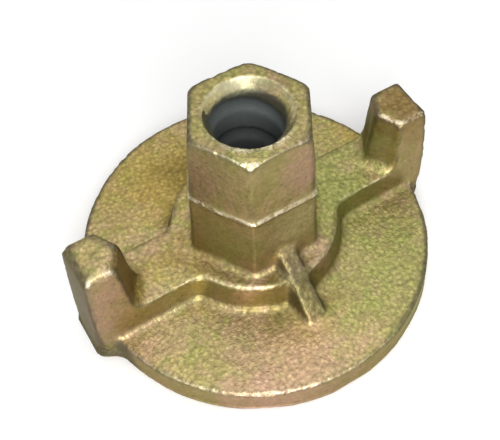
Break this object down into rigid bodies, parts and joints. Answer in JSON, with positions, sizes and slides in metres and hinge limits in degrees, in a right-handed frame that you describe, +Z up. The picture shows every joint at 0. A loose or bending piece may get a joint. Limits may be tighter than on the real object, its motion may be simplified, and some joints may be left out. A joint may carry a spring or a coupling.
{
  "type": "formwork wing nut",
  "caption": "Cast nut with a round flange, tall hexagon boss, V-sided wing lugs and a coarse right-hand thread, for clamping formwork on a tie rod.",
  "frame": {"origin": "centre of the flat underside of the flange, on the bore axis", "axes": "+Z up the bore from the flange to the mouth, +X along the wings"},
  "size_m": [0.0986, 0.09, 0.0562],
  "materials": {
    "plated_iron": "rough sand-cast iron with dull yellow-chromate zinc plating, iridescent green and pink in places"
  },
  "bodies": {
    "root": {"wing_nut": "plated_iron"}
  },
  "joints": []
}
